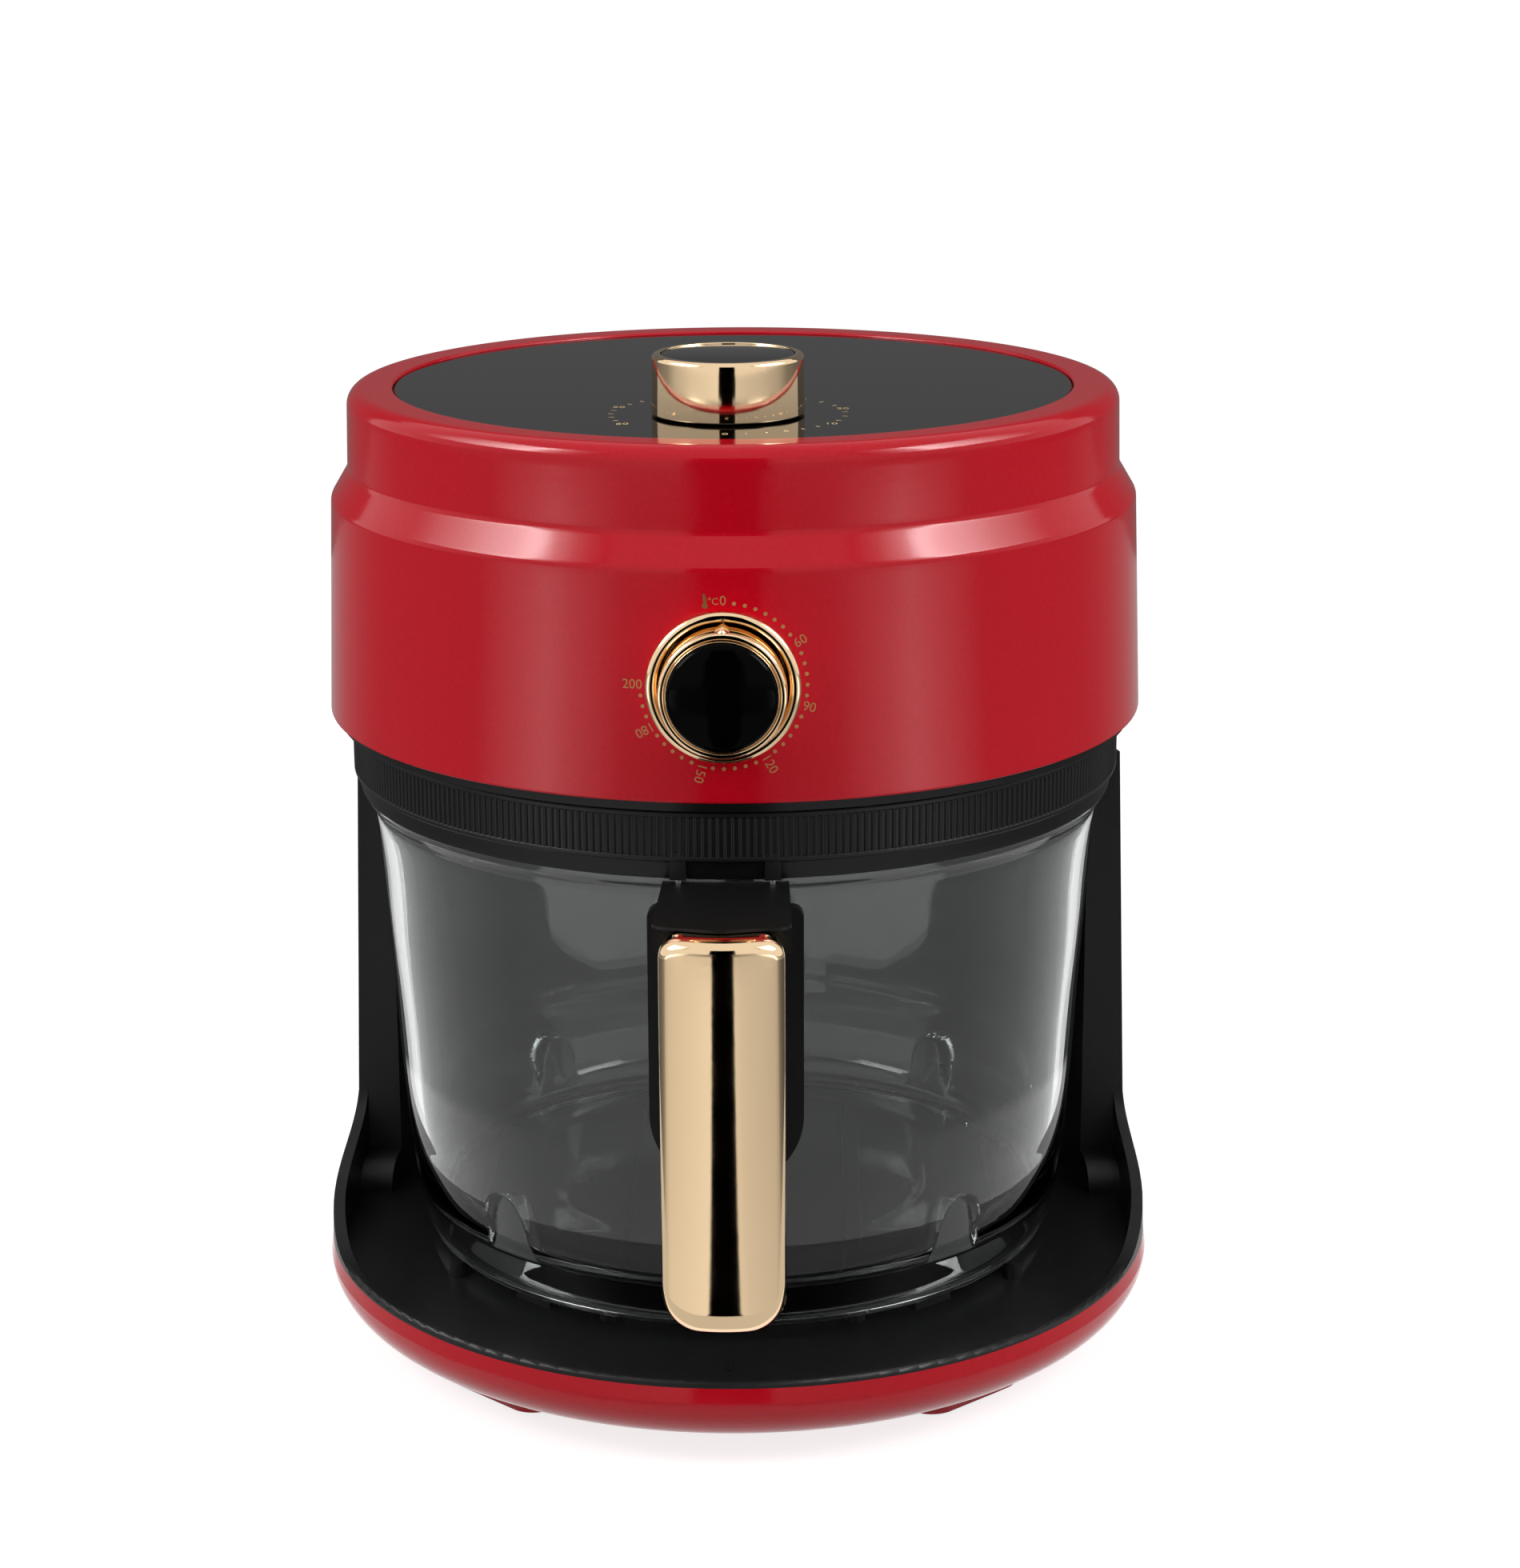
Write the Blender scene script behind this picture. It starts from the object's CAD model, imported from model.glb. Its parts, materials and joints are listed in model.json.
# %% [markdown]
# # A glass air fryer, dressed for the camera
# The real object is a countertop cooker: a red enamelled drum with a fan and a heating coil in it stands on
# a black column, and a pressed glass bowl with a gold grip slides out from under the drum. The CAD model
# gives every body its place. This lesson puts finishes on it, remakes the pieces that the eye dwells on with
# finer meshes, and lights the whole as in a studio. The frame comes first, because all pieces ride on it.
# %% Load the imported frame
import json
from math import atan2, ceil, cos, hypot, pi, radians, sin, sqrt, tan

import bmesh
import bpy
from mathutils import Matrix, Vector


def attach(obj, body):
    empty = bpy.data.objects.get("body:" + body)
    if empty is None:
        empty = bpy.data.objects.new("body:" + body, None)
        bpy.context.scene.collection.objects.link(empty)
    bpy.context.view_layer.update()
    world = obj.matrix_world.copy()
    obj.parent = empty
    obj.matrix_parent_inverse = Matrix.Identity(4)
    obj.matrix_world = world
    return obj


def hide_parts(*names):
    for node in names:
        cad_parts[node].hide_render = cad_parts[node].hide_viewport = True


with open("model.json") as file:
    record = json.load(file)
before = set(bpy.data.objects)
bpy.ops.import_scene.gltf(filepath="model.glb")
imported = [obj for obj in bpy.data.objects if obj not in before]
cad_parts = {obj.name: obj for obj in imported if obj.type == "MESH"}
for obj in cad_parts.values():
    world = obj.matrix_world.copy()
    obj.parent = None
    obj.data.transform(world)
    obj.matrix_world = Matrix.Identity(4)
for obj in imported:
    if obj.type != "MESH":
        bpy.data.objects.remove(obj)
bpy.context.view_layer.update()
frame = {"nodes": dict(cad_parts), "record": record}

nodes = frame["nodes"]
print("CAD nodes:", len(nodes))

# %% [markdown]
# Blender works in metres, and the maker's drawing of this cooker is in millimetres. All sizes below are
# written in millimetres and multiplied by MM once, when a mesh is made. The drum's upright axis stands a
# little behind the origin, and most pieces are turned about it.
# %% Units and main places
MM = 0.001
AXIS_Y = 17.0
DIAL_Z = 239.5
TIMER_Y = -58.5
PANEL_TOP = 305.2
DRUM_AXIS = Matrix.Translation((0, AXIS_Y, 0))
TIMER_AXIS = Matrix.Translation((0, AXIS_Y + TIMER_Y, 0))
# here local X stays X, local Y becomes up, and local Z comes forward, so its heights are depths
DIAL_AXIS = Matrix(((1, 0, 0, 0), (0, 0, -1, AXIS_Y), (0, 1, 0, DIAL_Z), (0, 0, 0, 1)))
print("drum axis at y =", AXIS_Y, "mm, dial at z =", DIAL_Z, "mm")

# %% [markdown]
# A finish in Blender is a small network of nodes. Writing one node after another in Python soon hides what
# is being computed, so a class wraps a socket and lets plain arithmetic build the Math nodes. Its one other
# method makes any node from its type, its settings and the values or links of its sockets.
# %% A socket that can be used in arithmetic
class Wire:
    """An output socket of a shader tree, which Python's operators turn into Math nodes."""

    def __init__(self, tree, socket=None):
        self.tree = tree
        self.socket = socket

    def node(self, kind, settings=None, output=0, **sockets):
        """Any node: its settings are set first, then its sockets, named with _ for a space."""
        made = self.tree.nodes.new(kind)
        for name, value in (settings or {}).items():
            if name == "stops":
                ramp = made.color_ramp.elements
                while len(ramp) < len(value):
                    ramp.new(0.5)
                for stop, (position, shade) in zip(ramp, value):
                    stop.position = position
                    stop.color = (shade, shade, shade, 1)
            else:
                setattr(made, name, value)
        for name, value in sockets.items():
            key = int(name[1:]) if name[1:].isdigit() else name.replace("_", " ")
            if isinstance(value, Wire):
                self.tree.links.new(value.socket, made.inputs[key])
            else:
                made.inputs[key].default_value = value
        return Wire(self.tree, made.outputs[output])

    def maths(self, operation, first, second=0.0):
        return self.node("ShaderNodeMath", {"operation": operation}, i0=first, i1=second)

    def __add__(self, other):
        return self.maths("ADD", self, other)

    __radd__ = __add__

    def __mul__(self, other):
        return self.maths("MULTIPLY", self, other)

    __rmul__ = __mul__

    def __sub__(self, other):
        return self.maths("SUBTRACT", self, other)

    def __rsub__(self, other):
        return self.maths("SUBTRACT", other, self)

    def __truediv__(self, other):
        return self.maths("DIVIDE", self, other)


print("arithmetic on sockets is ready")

# %% [markdown]
# Every finish starts from the Principled shader. What is the same all over the surface, such as its specular
# level, is set on the shader itself. What varies, such as a mottled roughness, is a network that reads the
# Object coordinates, so that it stays on the piece at any pose. The finishes are kept by name.
# %% Start a finish
finishes = {}


def start_finish(name, **constants):
    """Starts a named finish: its Principled shader, a wire to build on, and the object's own coordinates."""
    material = bpy.data.materials.new(name)
    material.use_nodes = True
    tree = material.node_tree
    shader = tree.nodes["Principled BSDF"]
    for key, value in constants.items():
        shader.inputs[key.replace("_", " ")].default_value = value
    wire = Wire(tree)
    place = wire.node("ShaderNodeTexCoord", output="Object")
    finishes[name] = material
    print("finish:", name)
    return shader, wire, place


def plug(shader, **networks):
    """Links finished networks to the shader's sockets."""
    for key, value in networks.items():
        value.tree.links.new(value.socket, shader.inputs[key.replace("_", " ")])


def mottle(wire, place, scale, low, high, detail=3.0):
    """A soft noise between two values."""
    noise = wire.node("ShaderNodeTexNoise", Vector=place, Scale=scale, Detail=detail)
    return noise * (high - low) * 1.6 + (low - 0.3 * (high - low))


def grain(wire, place, scale, depth, detail=2.0, strength=1.0):
    """A bump from fine noise; its depth is in metres."""
    noise = wire.node("ShaderNodeTexNoise", Vector=place, Scale=scale, Detail=detail)
    return wire.node("ShaderNodeBump", Strength=strength, Distance=depth, Height=noise)


def blend_colours(wire, factor, first, second):
    return wire.node(
        "ShaderNodeMix", {"data_type": "RGBA"}, output=2, Factor=factor, i6=(*first, 1), i7=(*second, 1)
    )


print("finish helpers are ready")

# %% [markdown]
# The drum and the base pan are pressed metal with a deep red enamel. Its dark parts stay clean red, so it
# reflects less than a clear lacquer would, and a fairly low roughness keeps the streaks on the step crisp. A
# very faint orange peel breaks up the edges of the reflections, as sprayed enamel has.
# %% Red enamel
def red_enamel():
    shader, wire, place = start_finish("red_enamel", Specular_IOR_Level=0.26, IOR=1.5)
    flakes = mottle(wire, place, 900.0, 0.0, 1.0, detail=1.0)
    plug(
        shader,
        Base_Color=blend_colours(wire, flakes, (0.55, 0.0012, 0.011), (0.61, 0.0035, 0.016)),
        Roughness=mottle(wire, place, 60.0, 0.1, 0.14),
        Normal=grain(wire, place, 420.0, 0.000012, detail=1.0),
    )


red_enamel()

# %% [markdown]
# The tray, the column, the collar and the handle's frame are moulded from black plastic with a fine satin
# texture, eroded into the mould. Its grain is a bump of a few hundredths of a millimetre.
# %% Satin black plastic
def satin_black():
    shader, wire, place = start_finish("black_plastic", Specular_IOR_Level=0.24)
    shade = mottle(wire, place, 35.0, 0.0, 1.0)
    plug(
        shader,
        Base_Color=blend_colours(wire, shade, (0.0054, 0.0054, 0.00552), (0.0069, 0.0069, 0.0069)),
        Roughness=mottle(wire, place, 240.0, 0.33, 0.4),
        Normal=grain(wire, place, 2600.0, 0.00002, detail=2.0, strength=0.5),
    )


satin_black()

# %% [markdown]
# The control panel and the timer's disc are polished black: nearly all that is seen in them is a reflection.
# A trace of unevenness in the roughness keeps them from looking like a hole. The dial's domed cap is a deeper
# black with a duller skin, so it gets a finish of its own.
# %% Polished black
def polished_black():
    shader, wire, place = start_finish("gloss_black", Specular_IOR_Level=0.5, IOR=1.5)
    shade = mottle(wire, place, 30.0, 0.0, 1.0)
    plug(
        shader,
        Base_Color=blend_colours(wire, shade, (0.0016, 0.0016, 0.0017), (0.0024, 0.0024, 0.0026)),
        Roughness=mottle(wire, place, 25.0, 0.03, 0.05),
        Normal=grain(wire, place, 12.0, 0.00002, detail=0.0, strength=0.4),
    )


def dome_black():
    shader, wire, place = start_finish("dome_black", Specular_IOR_Level=0.03, IOR=1.5)
    shade = mottle(wire, place, 60.0, 0.0, 1.0)
    plug(
        shader,
        Base_Color=blend_colours(wire, shade, (0.0006, 0.0006, 0.0006), (0.0012, 0.0012, 0.0012)),
        Roughness=mottle(wire, place, 90.0, 0.08, 0.12),
    )


polished_black()
dome_black()

# %% [markdown]
# The knobs, the dial's dish and the grip are plastic plated in champagne gold. It is a metal to the eye: the
# colour sits in the reflection itself. The plating is nearly mirror smooth, so the bands in it have edges.
# %% Champagne gold plating
def gold_plating():
    shader, wire, place = start_finish("gold_plating", Metallic=1.0)
    shade = mottle(wire, place, 18.0, 0.0, 1.0)
    plug(
        shader,
        Base_Color=blend_colours(wire, shade, (0.83, 0.61, 0.37), (0.87, 0.65, 0.41)),
        Roughness=mottle(wire, place, 120.0, 0.05, 0.09),
        Normal=grain(wire, place, 300.0, 0.000008, detail=1.0),
    )


gold_plating()

# %% [markdown]
# The bowl is pressed glass, a little green where it is thick. The mould leaves slow waves in its surface,
# which bend the reflections, so a faint long bump goes on it. The index is lower than soda glass has: every
# wall mirrors a bit of the white room, and four such walls in a row would make the bowl look like milk.
# %% Pressed glass
def bowl_glass():
    shader, wire, place = start_finish(
        "bowl_glass", Transmission_Weight=1.0, IOR=1.38, Specular_IOR_Level=0.5
    )
    tint = mottle(wire, place, 9.0, 0.0, 1.0)
    plug(
        shader,
        Base_Color=blend_colours(wire, tint, (0.93, 0.965, 0.95), (0.95, 0.98, 0.965)),
        Roughness=mottle(wire, place, 40.0, 0.0, 0.003),
        Normal=grain(wire, place, 16.0, 0.0001, detail=1.0, strength=0.25),
    )


bowl_glass()

# %% [markdown]
# The metal inside the head is sheet steel, aluminium and a dark sheathed heating tube. Rolled sheet has fine
# lines along the mill's direction, which a noise that is stretched along one axis gives.
# %% Sheet metals
def shaded(colour, share):
    return tuple(min(1.0, share * channel) for channel in colour)


def sheet_metal(name, colour, roughness, stretch=(8.0, 900.0, 900.0)):
    shader, wire, place = start_finish(name, Metallic=1.0)
    drawn = wire.node("ShaderNodeMapping", Vector=place, Scale=stretch)
    lines = wire.node("ShaderNodeTexNoise", Vector=drawn, Scale=1.0, Detail=3.0)
    plug(
        shader,
        Base_Color=blend_colours(wire, lines, shaded(colour, 0.88), shaded(colour, 1.08)),
        Roughness=lines * 0.16 + (roughness - 0.08),
        Normal=wire.node("ShaderNodeBump", Strength=0.3, Distance=0.00002, Height=lines),
    )


sheet_metal("screw_steel", (0.5, 0.5, 0.51), 0.3, stretch=(700.0, 700.0, 700.0))
sheet_metal("steel_sheet", (0.62, 0.62, 0.62), 0.28)
sheet_metal("heater_steel", (0.14, 0.14, 0.13), 0.5, stretch=(300.0, 300.0, 300.0))
sheet_metal("aluminium_sheet", (0.76, 0.76, 0.77), 0.22)

# %% [markdown]
# Small parts that are only seen from below or behind get plain moulded finishes: matt rubber for the feet,
# grey silicone for the seal and an off-white plastic for the parts near the heat.
# %% Rubber, silicone and white plastic
def moulded(name, colour, roughness, depth=0.00003):
    shader, wire, place = start_finish(name, Specular_IOR_Level=0.4)
    shade = mottle(wire, place, 50.0, 0.0, 1.0)
    plug(
        shader,
        Base_Color=blend_colours(wire, shade, shaded(colour, 0.9), shaded(colour, 1.08)),
        Roughness=mottle(wire, place, 160.0, roughness - 0.05, roughness + 0.05),
        Normal=grain(wire, place, 1500.0, depth, strength=0.5),
    )


moulded("white_plastic", (0.72, 0.72, 0.68), 0.45)
moulded("rubber", (0.02, 0.02, 0.02), 0.8, depth=0.00006)
moulded("silicone", (0.1, 0.1, 0.1), 0.6)

# %% [markdown]
# The CAD nodes that stay get their finish in their own material slots. Which slot a node has is in the
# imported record, so nothing is listed twice.
# %% Put the finishes on the CAD nodes
slot_of = {part["node"]: part["material_slot"] for part in frame["record"]["subparts"]}
for name, node in nodes.items():
    node.data.materials.clear()
    node.data.materials.append(finishes[slot_of[name]])
print("dressed", len(nodes), "nodes")

# %% [markdown]
# The photograph was taken with a long lens from a little above the drum's top and almost straight ahead.
# The lens, distance, height and tilt below make the same outline in the frame.
# %% The camera
FOCAL_LENGTH = 79.346
CAMERA_DISTANCE = 1.06594
CAMERA_HEIGHT = 0.4741
CAMERA_AZIMUTH = 1.5
CAMERA_PAN = 0.4174
CAMERA_PITCH = 15.636
CAMERA_ROLL = -0.2545

camera_data = bpy.data.cameras.new("studio_camera")
camera_data.lens = FOCAL_LENGTH
camera_data.sensor_width = 36.0
camera = bpy.data.objects.new("studio_camera", camera_data)
bpy.context.scene.collection.objects.link(camera)
stand_point = (
    CAMERA_DISTANCE * sin(radians(CAMERA_AZIMUTH)),
    AXIS_Y * MM - CAMERA_DISTANCE * cos(radians(CAMERA_AZIMUTH)),
    CAMERA_HEIGHT,
)
camera.matrix_world = (
    Matrix.Translation(stand_point)
    @ Matrix.Rotation(radians(CAMERA_AZIMUTH - CAMERA_PAN), 4, "Z")
    @ Matrix.Rotation(radians(90 - CAMERA_PITCH), 4, "X")
    @ Matrix.Rotation(radians(CAMERA_ROLL), 4, "Z")
)
bpy.context.scene.camera = camera
print("camera at", [round(c, 3) for c in stand_point])

# %% [markdown]
# The floor is a plain pale sheet. It gives off its own white to the camera and to mirrors, so that it
# shows white without more light on the object, and a part of it still takes the object's soft shadow.
# %% Floor and world
def stage_mesh(name, corners, faces, material):
    """Plain faces with one material, marked as stage."""
    mesh = bpy.data.meshes.new(name)
    mesh.from_pydata(corners, [], faces)
    mesh.materials.append(material)
    made = bpy.data.objects.new(name, mesh)
    bpy.context.scene.collection.objects.link(made)
    return made


THROUGH_GLASS = 0.35


def glow_material(name, matt, glow):
    """A matt surface with a glow of its own that only the camera and mirrors see, and glass in part."""
    material = bpy.data.materials.new(name)
    material.use_nodes = True
    tree = material.node_tree
    shader = tree.nodes["Principled BSDF"]
    shader.inputs["Base Color"].default_value = (matt, matt, matt, 1)
    shader.inputs["Roughness"].default_value = 1.0
    shader.inputs["Specular IOR Level"].default_value = 0.0
    shader.inputs["Emission Strength"].default_value = glow
    wire = Wire(tree)
    camera_ray = wire.node("ShaderNodeLightPath", output="Is Camera Ray")
    glossy_ray = wire.node("ShaderNodeLightPath", output="Is Glossy Ray")
    glass_ray = wire.node("ShaderNodeLightPath", output="Is Transmission Ray")
    seen = wire.maths("MINIMUM", camera_ray + glossy_ray + glass_ray * THROUGH_GLASS, 1.0)
    plug(shader, Emission_Color=seen)
    return material


FLOOR_HALF = 6.0
floor_corners = [(x * FLOOR_HALF, y * FLOOR_HALF, 0) for x, y in ((-1, -1), (1, -1), (1, 1), (-1, 1))]
stage_mesh("studio_floor", floor_corners, [(0, 1, 2, 3)], glow_material("floor_white", 0.5, 0.8))

world = bpy.data.worlds.new("studio_world")
bpy.context.scene.world = world
world.use_nodes = True
sky_tree = world.node_tree
sky = sky_tree.nodes["Background"]
sky_wire = Wire(sky_tree)
to_camera = sky_wire.node("ShaderNodeLightPath", output="Is Camera Ray")
to_mirror = sky_wire.node("ShaderNodeLightPath", output="Is Glossy Ray")
to_glass = sky_wire.node("ShaderNodeLightPath", output="Is Transmission Ray")
WORLD_FILL = 0.4
shown = sky_wire.maths("MINIMUM", to_camera + to_mirror + to_glass, 1.0)
strength = shown * (1.0 - WORLD_FILL) + WORLD_FILL
sky_tree.links.new(strength.socket, sky.inputs["Strength"])
sky.inputs["Color"].default_value = (1, 1, 1, 1)
print("floor and world are white")

# %% [markdown]
# Two large soft boxes to the left and right of the camera light the cooker. Polished surfaces show what is
# around them, so a studio sets that up apart from the light, with cards that only mirrors see. The upright
# walls mirror the floor, so a big ring on the floor has a tone for each azimuth: black in front for the dark
# middle band, bright beside it for the gold, and dim at the sides and behind. The drum's walls mirror the
# middle of the ring, one to two metres out, and there each side has a soft streak. Close by, the floor is
# bright all round for the turned-under foot of the grip. Two upright cards make the streaks on the step.
# %% Soft boxes and cards
def around_drum(azimuth, distance, height):
    """A point at an azimuth from the front, in degrees to the right, and a distance in metres."""
    return Vector((distance * sin(radians(azimuth)), AXIS_Y * MM - distance * cos(radians(azimuth)), height))


def softbox(name, azimuth, distance, height, size, watts):
    """A square area light aimed at the drum."""
    lamp = bpy.data.lights.new(name, "AREA")
    lamp.size = size
    lamp.energy = watts
    made = bpy.data.objects.new(name, lamp)
    at = around_drum(azimuth, distance, height)
    aim = Vector((0, AXIS_Y * MM, 0.2)) - at
    made.matrix_world = Matrix.Translation(at) @ aim.to_track_quat("-Z", "Y").to_matrix().to_4x4()
    bpy.context.scene.collection.objects.link(made)
    made.visible_camera = False
    made.visible_glossy = False


TOP_TONE = 28.0


def card(name, corners, faces, tone_of, through_glass=False):
    """A card that mirrors see, and glass if so wished: a number as its tone, or a function of where it is."""
    material = bpy.data.materials.new(name)
    material.use_nodes = True
    shader = material.node_tree.nodes["Principled BSDF"]
    shader.inputs["Base Color"].default_value = (0, 0, 0, 1)
    shader.inputs["Specular IOR Level"].default_value = 0.0
    shader.inputs["Emission Strength"].default_value = TOP_TONE
    if callable(tone_of):
        wire = Wire(material.node_tree)
        place = wire.node("ShaderNodeTexCoord", output="Object")
        x = wire.node("ShaderNodeSeparateXYZ", output=0, Vector=place)
        y = wire.node("ShaderNodeSeparateXYZ", output=1, Vector=place) - AXIS_Y * MM
        turn = wire.maths("ARCTAN2", x, 0 - y) / pi
        radius = wire.maths("SQRT", x * x + y * y)
        plug(shader, Emission_Color=tone_of(wire, turn, radius))
    else:
        shade = tone_of / TOP_TONE
        shader.inputs["Emission Color"].default_value = (shade, shade, shade, 1)
    made = stage_mesh(name, corners, faces, material)
    made.visible_camera = False
    made.visible_diffuse = False
    made.visible_shadow = False
    made.visible_transmission = through_glass


def tone_ramp(wire, turn, stops):
    """A share of the top tone by azimuth, from stops of (degrees, tone), the same for both sides."""
    side = wire.maths("ABSOLUTE", turn)
    shades = [(azimuth / 180.0, tone / TOP_TONE) for azimuth, tone in stops]
    return wire.node("ShaderNodeValToRGB", {"stops": shades}, i0=side)


def between(wire, value, first, last):
    """A smooth step from 0 at the first value to 1 at the last."""
    settings = {"interpolation_type": "SMOOTHSTEP"}
    return wire.node("ShaderNodeMapRange", settings, i0=value, i1=first, i2=last, i3=0.0, i4=1.0)


# all tones are pairs of an azimuth in degrees and an emission, and all zones are radii in metres
FLAG_EDGE = 7.6
FAR_FLAG_EDGE = 11.5
WIDE_TONES = ((FLAG_EDGE, 0.0), (FLAG_EDGE + 1, 1.0), (36, 0.8), (54, 0.6), (66, 0.3), (90, 0.15), (180, 0.1))
DRUM_TONES = (
    (FLAG_EDGE, 0.0), (FLAG_EDGE + 1.5, 0.3), (28, 0.6), (42, 2.0), (49, 3.2), (57, 2.0), (70, 0.5),
    (110, 0.25), (150, 0.4), (180, 0.4),
)
STREAK_TONES = ((38, 0.3), (48, 2.0), (56, 7.0), (60, 26.0), (67, 16.0), (84, 6.0), (98, 1.5))
FOOT_TONE = 0.7
FOOT_ZONE_ENDS = (0.262, 0.282)
DRUM_ZONE_STARTS = (0.62, 0.8)
DRUM_ZONE_ENDS = (2.2, 2.35)
FAR_ZONE_STARTS = (2.3, 2.45)
RIGHT_SIDE_DIMMER = 0.22


def floor_tones(wire, turn, radius):
    """Bright at the foot, the drum's own tones in the middle, and a wider black wedge far out."""
    drum_zone = between(wire, radius, *DRUM_ZONE_STARTS) * (1 - between(wire, radius, *DRUM_ZONE_ENDS))
    squeeze = 1 - between(wire, radius, *FAR_ZONE_STARTS) * (1 - FLAG_EDGE / FAR_FLAG_EDGE)
    dimmer = 1 - between(wire, turn, 0.0, 0.08) * RIGHT_SIDE_DIMMER
    wide = tone_ramp(wire, turn * squeeze, WIDE_TONES) * dimmer
    tones = wide + drum_zone * (tone_ramp(wire, turn, DRUM_TONES) - wide)
    return tones + (1 - between(wire, radius, *FOOT_ZONE_ENDS)) * (FOOT_TONE / TOP_TONE - tones)


def streak_tones(wire, turn, radius):
    return tone_ramp(wire, turn, STREAK_TONES)


def ring_card(name, first, last, low, high, tone_of, steps=24, through_glass=False):
    """A card between two azimuths, from a (radius, height) edge to another."""
    turns = [first + (last - first) * step / steps for step in range(steps + 1)]
    corners = [around_drum(turn, *low) for turn in turns] + [around_drum(turn, *high) for turn in turns]
    faces = [(i, i + 1, steps + 2 + i, steps + 1 + i) for i in range(steps)]
    card(name, corners, faces, tone_of, through_glass)


STREAK_LOW = (0.9, 0.6)
STREAK_HIGH = (0.9, 1.2)
FLOOR_INNER = (0.16, 0.0015)
FLOOR_OUTER = (5.9, 0.0015)
FLAG_LOW = (3.5, 0.0)
FLAG_HIGH = (3.5, 2.4)
BACK_CORNERS = [(-1.5, 1.2, 0.0), (1.5, 1.2, 0.0), (1.5, 1.2, 1.3), (-1.5, 1.2, 1.3)]
BACK_TONE = 0.15
for side, sign in (("left", -1), ("right", 1)):
    softbox("softbox_" + side, sign * 66.0, distance=1.1, height=0.95, size=0.6, watts=7.0)
    ring_card("streak_card_" + side, sign * 38.0, sign * 100.0, STREAK_LOW, STREAK_HIGH, streak_tones,
              through_glass=True)
ring_card("floor_card", -180.0, 180.0, FLOOR_INNER, FLOOR_OUTER, floor_tones, steps=96)
ring_card("front_flag", -FAR_FLAG_EDGE, FAR_FLAG_EDGE, FLAG_LOW, FLAG_HIGH, 0.0, steps=2)
card("back_card", BACK_CORNERS, [(0, 1, 2, 3)], BACK_TONE)
print("lights and cards are up")

# %% [markdown]
# Most pieces of this cooker are turned: a section drawn as radius and height is carried round an axis. The
# sections are written corner by corner with a rounding for each, as on a workshop drawing. A pressed edge is
# never sharp, and it is the rounding that catches the light.
# %% Sections and turned meshes
def rounded(corners, steps=8):
    """An outline from (radius, height, rounding) corners."""
    outline = []
    for index, (x, y, rounding) in enumerate(corners):
        here = Vector((x, y))
        if not rounding:
            outline.append((x, y))
            continue
        back = (Vector(corners[index - 1][:2]) - here).normalized()
        ahead = (Vector(corners[(index + 1) % len(corners)][:2]) - here).normalized()
        half = back.angle(ahead) / 2
        centre = here + (back + ahead).normalized() * rounding / sin(half)
        start = here + back * rounding / tan(half) - centre
        end = here + ahead * rounding / tan(half) - centre
        first = atan2(start.y, start.x)
        turn = (atan2(end.y, end.x) - first + pi) % (2 * pi) - pi
        for step in range(steps + 1):
            angle = first + turn * step / steps
            outline.append((centre.x + rounding * cos(angle), centre.y + rounding * sin(angle)))
    return outline


def divided(outline, longest):
    """The same closed outline with no run longer than a length."""
    result = []
    for (x0, y0), (x1, y1) in zip(outline, outline[1:] + outline[:1]):
        parts = max(1, ceil(hypot(x1 - x0, y1 - y0) / longest))
        result += [(x0 + (x1 - x0) * part / parts, y0 + (y1 - y0) * part / parts) for part in range(parts)]
    return result


def flowing(points, per_run=6):
    """A smooth line through points, as a Catmull-Rom curve."""
    padded = [points[0]] + list(points) + [points[-1]]
    line = []
    for corners in zip(padded, padded[1:], padded[2:], padded[3:]):
        before, here, after, beyond = (Vector(corner) for corner in corners)
        slope = after - before
        bend = 2 * before - 5 * here + 4 * after - beyond
        swing = 3 * here - before - 3 * after + beyond
        for step in range(per_run):
            t = step / per_run
            line.append(tuple(here + 0.5 * (slope * t + bend * t ** 2 + swing * t ** 3)))
    return line + [tuple(points[-1])]


def smooth(mesh, sharp=30.0):
    mesh.shade_smooth()
    mesh.set_sharp_from_angle(angle=radians(sharp))


def piece_from(name, points, faces, finish, sharp=30.0):
    """A new object from points in millimetres, with doubles merged and faces turned outwards."""
    mesh = bpy.data.meshes.new(name)
    mesh.from_pydata([Vector(point) * MM for point in points], [], faces)
    work = bmesh.new()
    work.from_mesh(mesh)
    bmesh.ops.remove_doubles(work, verts=work.verts, dist=1e-7)
    bmesh.ops.delete(work, geom=[edge for edge in work.edges if not edge.link_faces], context="EDGES")
    bmesh.ops.recalc_face_normals(work, faces=work.faces)
    work.to_mesh(mesh)
    work.free()
    mesh.materials.append(finish)
    smooth(mesh, sharp)
    made = bpy.data.objects.new(name, mesh)
    bpy.context.scene.collection.objects.link(made)
    return made


def turned(name, outline, place, finish, segments=256, sharp=30.0, start=0.0, span=360.0):
    """A closed outline of (radius, height) points, turned about local Z and put in its place."""
    whole = span == 360.0
    columns = segments if whole else segments + 1
    rows = len(outline)
    points = []
    for column in range(columns):
        turn = radians(start + span * column / segments)
        points += [place @ Vector((r * cos(turn), r * sin(turn), height)) for r, height in outline]
    faces = []
    for column in range(segments):
        near, far = column * rows, (column + 1) % columns * rows
        for row in range(rows):
            above = (row + 1) % rows
            faces.append((near + row, far + row, far + above, near + above))
    if not whole:
        faces += [tuple(range(rows)), tuple(range((columns - 1) * rows, columns * rows))]
    return piece_from(name, points, faces, finish, sharp)


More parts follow.
